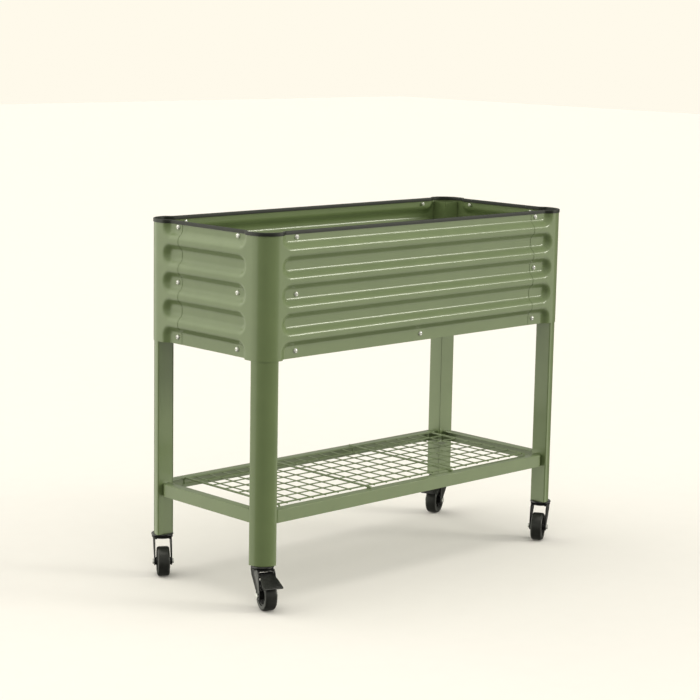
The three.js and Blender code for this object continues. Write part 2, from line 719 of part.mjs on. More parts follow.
// Brake lever: a sloping plate that widens to a tread, with a shoe above the wheel and two
// ears on the pivot between the fork's arms.
function pedalGeometry() {
  const [innerX, innerZ] = [19, 86];
  const [tipX, tipZ] = [75, 62];
  const plate = 2.5;
  const side = [[innerX, innerZ], [innerX, innerZ - plate], [tipX, tipZ - plate], [tipX, tipZ]];
  const ear = [[19, 74], [29, 74], [30, 81], [20, 85]];
  const shoe = [[41, 71.5], [49, 68], [51, 72], [41, 76]];
  const toShape = (points) => new THREE.Shape(points.map(([x, z]) => new THREE.Vector2(x, z)));
  const extrude = (points, from, to) => new THREE.ExtrudeGeometry(
    toShape(points), { depth: to - from, bevelEnabled: false },
  ).rotateX(Math.PI / 2).translate(0, to, 0);
  const planOutline = [
    [innerX - 1, -PEDAL_NECK], [32, -PEDAL_NECK], [46, -PEDAL_TREAD], [tipX - 4, -PEDAL_TREAD],
    [tipX + 1, -PEDAL_TREAD + 7], [tipX + 1, PEDAL_TREAD - 7], [tipX - 4, PEDAL_TREAD],
    [46, PEDAL_TREAD], [32, PEDAL_NECK], [innerX - 1, PEDAL_NECK],
  ].map(([x, y]) => new THREE.Vector2(x, y));
  const tread = toSolid(extrude(side, -PEDAL_TREAD - 1, PEDAL_TREAD + 1))
    .intersect(toSolid(slab(planOutline, tipZ - 10, innerZ + 10)));
  return join([
    fromSolid(tread),
    extrude(ear, -PEDAL_NECK, -PEDAL_NECK + 2),
    extrude(ear, PEDAL_NECK - 2, PEDAL_NECK),
    extrude(shoe, -9, 9),
    rodY(2.5, PEDAL_PIVOT_X, PEDAL_PIVOT_Z, 2 * FORK_INNER - 1, 0, 8),
  ]);
}

for (const { name, sx, sy } of corners) {
  const caster = new THREE.Group();
  caster.position.set(sx * (LEG_FLAT_X + STEM_OFFSET), sy * (LEG_FLAT_Y + STEM_OFFSET), 0);
  caster.rotation.z = THREE.MathUtils.degToRad(CASTER_HEADINGS[name]);
  planter.add(caster);
  add(`caster_stem_${name}`, stemGeometry(), blackSteel, caster);
  add(`caster_fork_${name}`, forkGeometry(), blackSteel, caster);
  for (const [part, geometry, material] of [
    ['tyre', tyreGeometry(), tyreRubber],
    ['hub', hubGeometry(), nylon],
    ['axle', axleGeometry(), zinc],
  ]) {
    const mesh = add(`caster_${part}_${name}`, geometry, material, caster);
    mesh.position.set(TRAIL, 0, WHEEL_RADIUS);
  }
  if (BRAKED.includes(name)) {
    add(`brake_pedal_${name}`, pedalGeometry(), blackSteel, caster);
  }
}

// ---- origin ----------------------------------------------------------------------------

const bounds = new THREE.Box3().setFromObject(planter);
const middle = bounds.getCenter(new THREE.Vector3());
planter.position.set(-middle.x, -middle.y, -bounds.min.z);

export default planter;
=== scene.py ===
"""Looks for the raised planter on legs: corrugated steel trough, wire shelf and swivel casters."""

import math

import bmesh
import bpy
from mathutils import Euler, Matrix, Vector


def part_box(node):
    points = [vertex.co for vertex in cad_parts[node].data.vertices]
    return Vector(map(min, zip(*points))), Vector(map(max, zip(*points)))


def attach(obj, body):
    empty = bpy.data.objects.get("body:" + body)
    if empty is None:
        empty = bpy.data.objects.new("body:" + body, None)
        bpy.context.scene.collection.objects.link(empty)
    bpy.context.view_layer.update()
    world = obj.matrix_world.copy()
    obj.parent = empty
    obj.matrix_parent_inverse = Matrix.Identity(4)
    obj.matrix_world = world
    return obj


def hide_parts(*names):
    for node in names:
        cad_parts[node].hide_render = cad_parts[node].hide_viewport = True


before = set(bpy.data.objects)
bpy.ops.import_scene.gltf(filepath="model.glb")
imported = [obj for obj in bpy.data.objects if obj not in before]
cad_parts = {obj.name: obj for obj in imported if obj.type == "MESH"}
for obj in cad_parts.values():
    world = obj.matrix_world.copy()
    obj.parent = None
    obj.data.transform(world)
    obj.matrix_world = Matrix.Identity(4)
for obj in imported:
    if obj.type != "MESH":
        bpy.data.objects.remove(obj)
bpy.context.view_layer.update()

# ---- sizes, in millimetres about the trough's centre on the ground -------------------------

MM = 0.001
LENGTH, WIDTH = 1000.0, 420.0
PANEL_TOP, PANEL_BOTTOM = 845.0, 562.0
SHEET = 0.6                     # thickness of the steel sheet
LAP = 0.68                      # how far the side panels lie behind the corner panels
CORNER_RADIUS = 46.4
GROOVES = [832.0 - 63.4 * i for i in range(5)]      # heights of the grooves' middles
GROOVE_DEPTH = 13.0
GROOVE_FLOOR, GROOVE_LIP = 11.2, 24.2               # half widths at the bottom and at the face
GROOVE_END_X, GROOVE_END_Y = 421.0, 120.5
BOLT_X, BOLT_Y = 396.0, 105.4
BOLT_ROWS = {"top": GROOVES[0], "middle": GROOVES[2], "bottom": GROOVES[4]}
SEAM = 14.0                     # how far the lapped sheets reach past the bolts
TRIM_BASE, TRIM_CREST, TRIM_WALL = 838.8, 845.4, 0.8
TRIM_OUT, TRIM_IN = 1.5, -3.9   # the trim's two faces, from the panels' outer face

LEG_SIZE, LEG_WALL = 45.0, 2.0
LEG_X, LEG_Y = 453.6, 163.6     # the inner corner of each leg
LEG_BOTTOM, LEG_TOP = 98.0, 835.0

RAIL_WIDTH, RAIL_TOP, RAIL_BOTTOM = 25.0, 221.5, 191.9
RAIL_INSET, RAIL_BEND, RAIL_WALL = 11.0, 12.0, 2.0

SHELF_BARS = [-414.0, -138.0, 138.0, 414.0]
SHELF_Z = 224.4                 # middle of the deck's bars
SHELF_EDGE_Y = 171.0            # where the bars turn down, inside the rails
SHELF_DROP_Z = 208.6
BAR_BEND, BAR_RADIUS, DROP_RADIUS = 6.0, 2.5, 2.2
EDGE_RADIUS, WIRE_RADIUS, LOW_RADIUS = 1.9, 1.5, 1.6
LONG_WIRES, LONG_PITCH, LONG_SHIFT = 8, 46.0, -2.0
CROSS_WIRES, CROSS_PITCH, CROSS_START = 6, 39.7, 27.0
WIRE_OVERHANG = 4.5             # how far the wires run past the last bar or wire

STEM_OFFSET = 18.0              # from the leg's inner corner, both ways
TRAIL, WHEEL_RADIUS, WHEEL_WIDTH = 28.0, 35.0, 29.0
ARM_WALL, ARM_GAP = 2.5, 18.5   # the fork's arms, and how far each stands from the middle
PEDAL_HEEL, PEDAL_TIP = (19.0, 86.0), (75.0, 62.0)
HEADINGS = {"front_left": -111.0, "front_right": -148.3, "back_left": -123.9, "back_right": -156.1}
SIGNS = {"front_left": (-1, -1), "front_right": (1, -1), "back_left": (-1, 1), "back_right": (1, 1)}
BRAKED = ("front_left", "back_right")

low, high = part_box("rim_trim")
CENTRE = Vector(((low[0] + high[0]) / 2, (low[1] + high[1]) / 2, 0.0))


def place(x, y, z):
    """A point of the trough's own millimetre frame, in the row frame's metres."""
    return Vector((x * MM, y * MM, z * MM)) + CENTRE


# ---- camera and light ----------------------------------------------------------------------

LENS, FRAME_WIDTH = 101.13, 36.0
CAMERA_SPOT = (-3.2681, -3.3765, 1.3153)
CAMERA_TURN = (43.602, 9.664, 1.058)                # yaw, pitch and roll, in degrees
BACKDROP = (1.0, 0.955, 0.83, 1.0)
BRIGHT = (0.46, 0.455, 0.41, 1.0)
DIM = (0.12, 0.118, 0.1, 1.0)
WARM = (1.0, 0.99, 0.86)


def add_camera():
    data = bpy.data.cameras.new("camera")
    data.lens = LENS
    data.sensor_width = FRAME_WIDTH
    data.clip_end = 50.0
    camera = bpy.data.objects.new("camera", data)
    yaw, pitch, roll = (math.radians(a) for a in CAMERA_TURN)
    camera.location = CAMERA_SPOT
    turn = Euler((math.pi / 2 - pitch, 0.0, -yaw), "XYZ").to_matrix()
    camera.rotation_euler = (turn @ Matrix.Rotation(roll, 3, "Z")).to_euler()
    bpy.context.scene.collection.objects.link(camera)
    bpy.context.scene.camera = camera


def add_soft_light(name, bearing, height, spread, strength):
    """A far, broad, slightly warm light from a compass bearing and height, both in degrees."""
    data = bpy.data.lights.new(name, "SUN")
    data.color = WARM
    data.angle = math.radians(spread)
    data.energy = strength
    light = bpy.data.objects.new(name, data)
    bearing, height = math.radians(bearing), math.radians(height)
    level = math.cos(height)
    source = Vector((level * math.cos(bearing), level * math.sin(bearing), math.sin(height)))
    light.rotation_euler = source.to_track_quat("Z", "Y").to_euler()
    bpy.context.scene.collection.objects.link(light)
    return light


def add_world():
    """A pale backdrop; what it sheds on the object fades from a bright ceiling to a dim floor."""
    world = bpy.data.worlds.new("studio")
    bpy.context.scene.world = world
    world.use_nodes = True
    nodes, links = world.node_tree.nodes, world.node_tree.links
    direction = nodes.new("ShaderNodeTexCoord")
    split = nodes.new("ShaderNodeSeparateXYZ")
    links.new(direction.outputs["Generated"], split.inputs["Vector"])
    fade = nodes.new("ShaderNodeValToRGB")
    for element, (position, colour) in zip(fade.color_ramp.elements, [(0.42, DIM), (0.62, BRIGHT)]):
        element.position = position
        element.color = colour
    shift = nodes.new("ShaderNodeMath")
    shift.operation = "MULTIPLY_ADD"
    shift.inputs[1].default_value = 0.5
    shift.inputs[2].default_value = 0.5
    links.new(split.outputs["Z"], shift.inputs[0])
    links.new(shift.outputs["Value"], fade.inputs["Fac"])
    seen = nodes.new("ShaderNodeLightPath")
    pick = nodes.new("ShaderNodeMix")
    pick.data_type = "RGBA"
    pick.inputs["B"].default_value = BACKDROP
    links.new(seen.outputs["Is Camera Ray"], pick.inputs["Factor"])
    links.new(fade.outputs["Color"], pick.inputs["A"])
    links.new(pick.outputs["Result"], nodes["Background"].inputs["Color"])


def add_lights():
    """Broad lights from the right, the left and above, and two fills that no reflection shows."""
    bpy.context.scene.view_settings.view_transform = "Standard"
    add_world()
    add_soft_light("right_strip", 312.0, 17.0, 16.0, 1.0)
    add_soft_light("right_bounce", 318.0, -27.0, 50.0, 0.65)
    add_soft_light("left_panel", 130.0, 8.0, 100.0, 2.15)
    add_soft_light("ceiling", 0.0, 90.0, 50.0, 0.9)
    for name, bearing, strength in (("right_fill", 318.0, 0.5), ("front_fill", 226.0, 0.4)):
        fill = add_soft_light(name, bearing, 30.0, 60.0, strength)
        fill.visible_glossy = False


add_camera()
add_lights()

# ---- materials -----------------------------------------------------------------------------

def linear(rgb):
    """sRGB values from 0 to 255, as linear light."""
    def channel(value):
        value /= 255.0
        return value / 12.92 if value <= 0.04045 else ((value + 0.055) / 1.055) ** 2.4
    return tuple(channel(v) for v in rgb) + (1.0,)


def surface(name, dark, light, roughness, metallic=0.0, grain=900.0, bump=0.1, mottle=18.0,
            coat=0.0, coat_roughness=0.2):
    """Colour that drifts between two shades, with a fine bumpy grain and uneven roughness."""
    material = bpy.data.materials.new(name)
    material.use_nodes = True
    nodes, links = material.node_tree.nodes, material.node_tree.links
    shader = nodes["Principled BSDF"]
    shader.inputs["Metallic"].default_value = metallic
    shader.inputs["Coat Weight"].default_value = coat
    shader.inputs["Coat Roughness"].default_value = coat_roughness
    place_node = nodes.new("ShaderNodeTexCoord")

    def noise(scale, detail):
        node = nodes.new("ShaderNodeTexNoise")
        node.inputs["Scale"].default_value = scale
        node.inputs["Detail"].default_value = detail
        links.new(place_node.outputs["Object"], node.inputs["Vector"])
        return node.outputs["Fac"]

    def ramp(source, stops):
        node = nodes.new("ShaderNodeValToRGB")
        for element, (position, colour) in zip(node.color_ramp.elements, stops):
            element.position = position
            element.color = colour
        links.new(source, node.inputs["Fac"])
        return node.outputs["Color"]

    drift = noise(mottle, 4.0)
    fine = noise(grain, 2.0)
    links.new(ramp(drift, [(0.3, linear(dark)), (0.7, linear(light))]), shader.inputs["Base Color"])
    low_rough, high_rough = roughness - 0.05, roughness + 0.06
    grey = [(0.35, (low_rough,) * 3 + (1,)), (0.65, (high_rough,) * 3 + (1,))]
    links.new(ramp(fine, grey), shader.inputs["Roughness"])
    bumps = nodes.new("ShaderNodeBump")
    bumps.inputs["Strength"].default_value = bump
    bumps.inputs["Distance"].default_value = 0.0004
    links.new(fine, bumps.inputs["Height"])
    links.new(bumps.outputs["Normal"], shader.inputs["Normal"])
    return material


GREEN = surface("green_powder_coat", (114, 130, 87), (119, 135, 91), 0.42, grain=1400, bump=0.05,
                coat=0.6, coat_roughness=0.15)
TRIM = surface("black_edge_trim", (27, 30, 25), (36, 39, 33), 0.45, grain=700, bump=0.12)
BLACK = surface("black_pressed_steel", (17, 17, 17), (26, 26, 26), 0.3, grain=900, bump=0.06,
                coat=0.35)
TYRE = surface("black_rubber", (32, 33, 31), (46, 47, 44), 0.34, grain=1600, bump=0.12, mottle=60)
NYLON = surface("black_nylon", (16, 16, 16), (24, 24, 24), 0.34, grain=1200, bump=0.08)
ZINC = surface("bright_zinc", (240, 240, 236), (250, 250, 246), 0.2, metallic=0.45, grain=500,
               bump=0.03, coat=0.4, coat_roughness=0.1)
FLOOR = surface("pale_floor", (246, 242, 242), (247, 243, 243), 0.9, grain=60, bump=0.02)

# ---- mesh helpers --------------------------------------------------------------------------

def finish_piece(name, mesh, material, body="root", replaced=(), sharp=35.0):
    """Paints and smooths a mesh, and hands it to its body in place of the CAD nodes it stands for."""
    mesh.materials.append(material)
    mesh.polygons.foreach_set("use_smooth", [True] * len(mesh.polygons))
    mesh.set_sharp_from_angle(angle=math.radians(sharp))
    piece = bpy.data.objects.new(name, mesh)
    bpy.context.scene.collection.objects.link(piece)
    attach(piece, body)
    if replaced:
        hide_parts(*replaced)
    return piece


def mesh_from(name, vertices, faces):
    """A mesh with every face turned outwards."""
    mesh = bpy.data.meshes.new(name)
    mesh.from_pydata(vertices, [], faces)
    work = bmesh.new()
    work.from_mesh(mesh)
    bmesh.ops.recalc_face_normals(work, faces=work.faces)
    work.to_mesh(mesh)
    work.free()
    return mesh


def joined(name, parts):
    """One mesh out of (vertices, faces) parts that stay separate shells."""
    vertices, faces = [], []
    for part_vertices, part_faces in parts:
        start = len(vertices)
        vertices += part_vertices
        faces += [[start + i for i in face] for face in part_faces]
    return mesh_from(name, vertices, faces)


def prism(outline, bottom, top, bevel=0.0, steps=2):
    """A plan outline raised from bottom to top, with both rims rounded off by bevel."""
    work = bmesh.new()
    base = work.faces.new([work.verts.new((x, y, bottom)) for x, y in outline])
    raised = bmesh.ops.extrude_face_region(work, geom=[base])
    new = [v for v in raised["geom"] if isinstance(v, bmesh.types.BMVert)]
    bmesh.ops.translate(work, verts=new, vec=(0, 0, top - bottom))
    bmesh.ops.recalc_face_normals(work, faces=work.faces)
    if bevel:
        rims = [e for e in work.edges if abs(e.verts[0].co.z - e.verts[1].co.z) < 1e-6]
        bmesh.ops.bevel(work, geom=rims, offset=bevel, segments=steps, affect="EDGES", profile=0.5)
    work.verts.index_update()
    vertices = [v.co.copy() for v in work.verts]
    faces = [[v.index for v in f.verts] for f in work.faces]
    work.free()
    return vertices, faces


def lathe(profile, sides):
    """A closed turned shape about Z. A profile that leaves the axis open is closed on itself."""
    vertices, faces = [], []
    closed = profile[0][0] > 1e-6
    for k in range(sides):
        angle = 2 * math.pi * k / sides
        vertices += [Vector((r * math.cos(angle), r * math.sin(angle), z)) for r, z in profile]
    count = len(profile)
    for k in range(sides):
        a, b = k * count, (k + 1) % sides * count
        for i in range(count if closed else count - 1):
            j = (i + 1) % count
            faces.append([a + i, b + i, b + j, a + j])
    work = bmesh.new()
    made = [work.verts.new(v) for v in vertices]
    for face in faces:
        work.faces.new([made[i] for i in face])
    bmesh.ops.remove_doubles(work, verts=work.verts, dist=1e-5)
    work.verts.index_update()
    vertices = [v.co.copy() for v in work.verts]
    faces = [[v.index for v in f.verts] for f in work.faces]
    work.free()
    return vertices, faces


def turned(part, matrix):
    """A part's vertices moved by a matrix, still in local millimetres."""
    return [matrix @ v for v in part[0]], part[1]


def to_row(part, matrix=Matrix.Identity(4)):
    """A part's vertices from local millimetres into the row frame's metres."""
    return [place(*(matrix @ v)) for v in part[0]], part[1]


def wire(points, radius, sides=10):
    """A round wire through the points, with flat ends."""
    points = [Vector(p) for p in points]
    vertices, faces = [], []
    side = None
    for i, point in enumerate(points):
        ahead = points[min(i + 1, len(points) - 1)] - points[max(i - 1, 0)]
        ahead.normalize()
        if side is None:
            side = ahead.orthogonal().normalized()
        side = (side - ahead * side.dot(ahead)).normalized()
        across = ahead.cross(side)
        for k in range(sides):
            angle = 2 * math.pi * k / sides
            vertices.append(point + radius * (side * math.cos(angle) + across * math.sin(angle)))
    for i in range(len(points) - 1):
        for k in range(sides):
            a, b = i * sides + k, i * sides + (k + 1) % sides
            faces.append([a, b, b + sides, a + sides])
    faces.append(list(range(sides))[::-1])
    faces.append([(len(points) - 1) * sides + k for k in range(sides)])
    return vertices, faces


def arc(cx, cy, radius, start, end, steps):
    """Points on an arc, angles in degrees."""
    angles = [math.radians(start + (end - start) * i / steps) for i in range(steps + 1)]
    return [(cx + radius * math.cos(a), cy + radius * math.sin(a)) for a in angles]


# ---- corrugated panels ---------------------------------------------------------------------

BEND = 0.4                      # share of the slope that each rounded bend takes up


def rounded_step(share):
    """0 to 1 with a straight slope between two parabolic bends."""
    if share <= -BEND:
        return 0.0
    if share < BEND:
        return (share + BEND) ** 2 / (4 * BEND)
    if share <= 1 - BEND:
        return share
    if share < 1 + BEND:
        return 1 - (1 + BEND - share) ** 2 / (4 * BEND)
    return 1.0


def groove_depth(beyond, z):
    """Depth of the sheet at height z, this far beyond the line where the grooves' ends start."""
    rise = min(abs(z - centre) for centre in GROOVES)
    if z > GROOVES[0] or z < GROOVES[-1]:
        rise = 0.0
    distance = math.hypot(max(beyond, 0.0), rise)
    return GROOVE_DEPTH * rounded_step((GROOVE_LIP - distance) / (GROOVE_LIP - GROOVE_FLOOR))


def sheet(name, columns, inset, replaced):
    """A grooved sheet. A column is (x, y, nx, ny, beyond); beyond None keeps it flat."""
    rows = 190
    heights = [PANEL_BOTTOM + (PANEL_TOP - PANEL_BOTTOM) * j / (rows - 1) for j in range(rows)]
    vertices, faces = [], []
    for back in (inset, inset + SHEET):
        for x, y, nx, ny, beyond in columns:
            for z in heights:
                deep = back + (0.0 if beyond is None else groove_depth(beyond, z))
                vertices.append(place(x - nx * deep, y - ny * deep, z))
    layer = len(columns) * rows
    for i in range(len(columns) - 1):
        for j in range(rows - 1):
            a = i * rows + j
            faces.append([a, a + rows, a + rows + 1, a + 1])
            faces.append([layer + a, layer + a + 1, layer + a + rows + 1, layer + a + rows])
        a, b = i * rows, i * rows + rows - 1
        faces.append([a, layer + a, layer + a + rows, a + rows])
        faces.append([b, b + rows, layer + b + rows, layer + b])
    for start in (0, (len(columns) - 1) * rows):
        for j in range(rows - 1):
            a = start + j
            faces.append([a, a + 1, layer + a + 1, layer + a])
    return finish_piece(name, mesh_from(name, vertices, faces), GREEN, replaced=replaced)


def end_steps():
    """Even steps along a groove's rounded end, out to where it has run out."""
    reach = GROOVE_LIP + BEND * (GROOVE_LIP - GROOVE_FLOOR)
    steps = 17
    return [reach * k / steps for k in range(steps + 1)]


def corner_columns(sx, sy):
    """The columns of one corner's sheet: the long side, round the bend, then the short side."""
    arc_x, arc_y = LENGTH / 2 - CORNER_RADIUS, WIDTH / 2 - CORNER_RADIUS
    long_xs = [BOLT_X - SEAM] + [GROOVE_END_X + step for step in end_steps()]
    columns = [(sx * x, sy * WIDTH / 2, 0, sy, x - GROOVE_END_X) for x in long_xs]
    steps = 20
    for k in range(steps + 1):
        angle = math.pi / 2 * k / steps
        nx, ny = sx * math.sin(angle), sy * math.cos(angle)
        x, y = sx * arc_x + CORNER_RADIUS * nx, sy * arc_y + CORNER_RADIUS * ny
        columns.append((x, y, nx, ny, None))
    short_ys = [BOLT_Y - SEAM] + [GROOVE_END_Y + step for step in end_steps()]
    columns += [(sx * LENGTH / 2, sy * y, sx, 0, y - GROOVE_END_Y) for y in reversed(short_ys)]
    return columns


def add_panels():
    for corner, (sx, sy) in SIGNS.items():
        name = f"corner_panel_{corner}"
        sheet(f"corner_sheet_{corner}", corner_columns(sx, sy), 0.0, [name])
    for side, sy in (("front", -1), ("back", 1)):
        end = BOLT_X + SEAM
        columns = [(x, sy * WIDTH / 2, 0, sy, 0.0) for x in (-end, end)]
        sheet(f"sheet_{side}", columns, LAP, [f"panel_{side}"])
    for side, sx in (("left", -1), ("right", 1)):
        end = BOLT_Y + SEAM / 2
        columns = [(sx * LENGTH / 2, y, sx, 0, 0.0) for y in (-end, end)]
        sheet(f"sheet_{side}", columns, LAP, [f"panel_{side}"])


def add_rim():
    """The edge trim: a rounded U section that follows the top edge all the way round."""
    middle, half, crown = (TRIM_OUT + TRIM_IN) / 2, (TRIM_OUT - TRIM_IN) / 2, 1.6
    slot_out, slot_in, slot_top = TRIM_OUT - TRIM_WALL, TRIM_IN + TRIM_WALL, TRIM_CREST - 0.2
    section = [(TRIM_OUT, TRIM_BASE), (TRIM_OUT, TRIM_CREST)]
    for degrees in range(15, 180, 15):
        angle = math.radians(degrees)
        section.append((middle + half * math.cos(angle), TRIM_CREST + crown * math.sin(angle)))
    section += [(TRIM_IN, TRIM_CREST), (TRIM_IN, TRIM_BASE), (slot_in, TRIM_BASE)]
    section += [(slot_in, slot_top), (slot_out, slot_top), (slot_out, TRIM_BASE)]
    path = []
    for corner in ("back_right", "back_left", "front_left", "front_right"):
        sx, sy = SIGNS[corner]
        columns = corner_columns(sx, sy)[1:-1]
        if sx * sy > 0:
            columns = columns[::-1]
        for x, y, nx, ny, beyond in columns:
            deep = 0.0 if beyond is None else groove_depth(beyond, GROOVES[0])
            path.append(Vector((x - nx * deep, y - ny * deep)))
    vertices, faces = [], []
    count = len(section)
    for i, point in enumerate(path):
        ahead = (path[(i + 1) % len(path)] - path[i - 1]).normalized()
        normal = Vector((ahead.y, -ahead.x))
        for offset, z in section:
            spot = point + normal * offset
            vertices.append(place(spot.x, spot.y, z))
    for i in range(len(path)):
        a, b = i * count, (i + 1) % len(path) * count
        for j in range(count):
            k = (j + 1) % count
            faces.append([a + j, b + j, b + k, a + k])
    mesh = mesh_from("edge_trim", vertices, faces)
    finish_piece("edge_trim", mesh, TRIM, replaced=["rim_trim"])


# ---- bolts ---------------------------------------------------------------------------------

def bolt_part():
    """Domed head on a thin flange with a socket in it, its shank, and a nut, along Z."""
    dome = [(0.0, 2.6), (1.6, 2.6), (1.8, 4.1)]
    dome += [(5.6 * math.cos(math.radians(a)), 1.0 + 3.2 * math.sin(math.radians(a)))
             for a in (68, 55, 42, 29, 16, 4)]
    head = lathe(dome + [(5.9, 0.9), (6.0, 0.7), (6.0, 0.4), (0.0, 0.4)], 24)
    shank = lathe([(0.0, 0.5), (2.7, 0.5), (2.7, -8.0), (0.0, -8.0)], 16)
    nut = prism(arc(0, 0, 4.4, 0, 300, 5), -7.2, -3.4, 0.4)
    return [head, shank, nut]


def bolt_spots():
    """Each bolt's name, place, outward axis and whether the CAD has a node for it."""
    spots = []
    for side, sy in (("front", -1), ("back", 1)):
        y = sy * (WIDTH / 2 - GROOVE_DEPTH)
        for end, sx in (("left", -1), ("right", 1)):
            for level, z in BOLT_ROWS.items():
                spots.append((f"{side}_{end}_{level}", (sx * BOLT_X, y, z), (0, sy, 0), True))
        spots.append((f"{side}_centre", (0, y - sy * LAP, GROOVES[-1]), (0, sy, 0), True))
    for side, sx in (("left", -1), ("right", 1)):
        x = sx * (LENGTH / 2 - GROOVE_DEPTH)
        for end, sy in (("front", -1), ("back", 1)):
            for level, z in BOLT_ROWS.items():
                spots.append((f"{side}_{end}_{level}", (x, sy * BOLT_Y, z), (sx, 0, 0), False))
    return spots


def add_bolts():
    part = bolt_part()
    for name, spot, axis, has_node in bolt_spots():
        turn = Vector(axis).to_track_quat("Z", "Y").to_matrix().to_4x4()
        matrix = Matrix.Translation(spot) @ turn
        mesh = joined(f"dome_bolt_{name}", [to_row(p, matrix) for p in part])
        replaced = [f"bolt_{name}"] if has_node else []
        finish_piece(f"dome_bolt_{name}", mesh, ZINC, replaced=replaced, sharp=30)


# ---- legs and rails ------------------------------------------------------------------------

def leg_outline():
    """Rolled quarter-round section about its inner corner, open by a narrow seam there."""
    outer, inner, corner = LEG_SIZE, LEG_SIZE - LEG_WALL, 2.5
    start = math.degrees(math.asin(corner / (outer - corner)))
    reach = (outer - corner) * math.cos(math.radians(start))
    points = [(0.0, 0.0), (reach, 0.0)]
    points += arc(reach, corner, corner, -90, start, 6)
    points += arc(0, 0, outer, start, 90 - start, 24)[1:]
    points += arc(corner, reach, corner, 90 - start, 180, 6)[1:]
    points += [(0.0, LEG_WALL + 1.2), (LEG_WALL, LEG_WALL + 1.2)]
    lip = math.degrees(math.asin(LEG_WALL / inner))
    points += arc(0, 0, inner, 90 - lip, lip, 24)
    points += [(0.0, LEG_WALL)]
    return points


def foot_outline():
    """The plate that closes the leg's lower end, halfway into its wall."""
    edge = LEG_WALL / 2
    radius = LEG_SIZE - edge
    lip = math.degrees(math.asin(edge / radius))
    return [(edge, edge)] + arc(0, 0, radius, lip, 90 - lip, 24)


def corner_matrix(corner):
    """Turns a leg drawn in the +X +Y corner into its own corner."""
    sx, sy = SIGNS[corner]
    quarter = {(1, 1): 0, (-1, 1): 90, (-1, -1): 180, (1, -1): 270}[(sx, sy)]
    turn = Matrix.Rotation(math.radians(quarter), 4, "Z")
    return Matrix.Translation((sx * LEG_X, sy * LEG_Y, 0)) @ turn


def add_legs():
    tube = prism(leg_outline(), LEG_BOTTOM, LEG_TOP)
    foot = prism(foot_outline(), LEG_BOTTOM + 0.3, LEG_BOTTOM + 4)
    for corner in SIGNS:
        matrix = corner_matrix(corner)
        mesh = joined(f"leg_tube_{corner}", [to_row(tube, matrix), to_row(foot, matrix)])
        finish_piece(f"leg_tube_{corner}", mesh, GREEN, replaced=[f"leg_{corner}"])


def rail_parts(span):
    """Folded sheet along X: outer wall at y = 0 with turned-in ends, and a flange on top."""
    half = span / 2 - 0.4

    def bent(inset):
        radius = RAIL_BEND - inset
        right = arc(half - RAIL_BEND, -RAIL_BEND, radius, 90, 0, 8)
        left = [(-x, y) for x, y in reversed(right)]
        return left + right

    outer, inner = bent(0.0), bent(RAIL_WALL)
    ends = half - RAIL_WALL
    wall = [(-half, -RAIL_WIDTH)] + outer + [(half, -RAIL_WIDTH), (ends, -RAIL_WIDTH)]
    wall += inner[::-1] + [(-ends, -RAIL_WIDTH)]
    flange = [(-half, -RAIL_WIDTH)] + outer + [(half, -RAIL_WIDTH)]
    return [
        prism(wall, RAIL_BOTTOM, RAIL_TOP - RAIL_WALL / 2, 0.3, 1),
        prism(flange, RAIL_TOP - RAIL_WALL, RAIL_TOP, 0.9, 3),
    ]


def add_rails():
    for side, degrees, span, reach in (
        ("front", 180, 2 * LEG_X, WIDTH / 2), ("back", 0, 2 * LEG_X, WIDTH / 2),
        ("left", 90, 2 * LEG_Y, LENGTH / 2), ("right", 270, 2 * LEG_Y, LENGTH / 2),
    ):
        turn = Matrix.Rotation(math.radians(degrees), 4, "Z")
        matrix = turn @ Matrix.Translation((0, reach - RAIL_INSET, 0))
        mesh = joined(f"folded_rail_{side}", [to_row(p, matrix) for p in rail_parts(span)])
        finish_piece(f"folded_rail_{side}", mesh, GREEN, replaced=[f"rail_{side}"])


# ---- wire shelf ----------------------------------------------------------------------------

def bar_points(x, over_rail):
    """Centre line of a shelf bar. Its ends turn down inside the rails, or lie on them."""
    if over_rail:
        reach = SHELF_EDGE_Y + 12.0
        return [(x, -reach, SHELF_Z), (x, reach, SHELF_Z)]
    side = arc(SHELF_EDGE_Y - BAR_BEND, SHELF_Z - BAR_BEND, BAR_BEND, 90, 0, 6)
    side.append((SHELF_EDGE_Y, SHELF_DROP_Z))
    return [(x, -y, z) for y, z in reversed(side)] + [(x, y, z) for y, z in side]


def add_shelf():
    """Thick bars across, thin wires both ways over and under them, and a wire low at each edge."""
    parts = []
    for i, x in enumerate(SHELF_BARS):
        inner_bar = 0 < i < len(SHELF_BARS) - 1
        parts.append(wire(bar_points(x, inner_bar), BAR_RADIUS))
        for sy in (-1, 1):
            if inner_bar:
                drop = [(x, sy * SHELF_EDGE_Y, SHELF_Z), (x, sy * SHELF_EDGE_Y, SHELF_DROP_Z)]
                parts.append(wire(drop, DROP_RADIUS))
    end_x = SHELF_BARS[-1] + WIRE_OVERHANG
    long_z, cross_z = SHELF_Z + 0.4, SHELF_Z - 0.8
    for k in range(LONG_WIRES):
        y = (k - (LONG_WIRES - 1) / 2) * LONG_PITCH + LONG_SHIFT
        radius = EDGE_RADIUS if k in (0, LONG_WIRES - 1) else WIRE_RADIUS
        parts.append(wire([(-end_x, y, long_z), (end_x, y, long_z)], radius))
    end_y = (LONG_WIRES - 1) / 2 * LONG_PITCH + WIRE_OVERHANG
    for bar in SHELF_BARS[:-1]:
        for k in range(CROSS_WIRES):
            x = bar + CROSS_START + CROSS_PITCH * k
            ends = [(x, -end_y + LONG_SHIFT, cross_z), (x, end_y + LONG_SHIFT, cross_z)]
            parts.append(wire(ends, WIRE_RADIUS))
    for sy in (-1, 1):
        y = sy * SHELF_EDGE_Y
        parts.append(wire([(-end_x, y, SHELF_DROP_Z), (end_x, y, SHELF_DROP_Z)], LOW_RADIUS))
    mesh = joined("wire_deck", [to_row(p) for p in parts])
    finish_piece("wire_deck", mesh, GREEN, replaced=["wire_shelf"])


# ---- casters -------------------------------------------------------------------------------

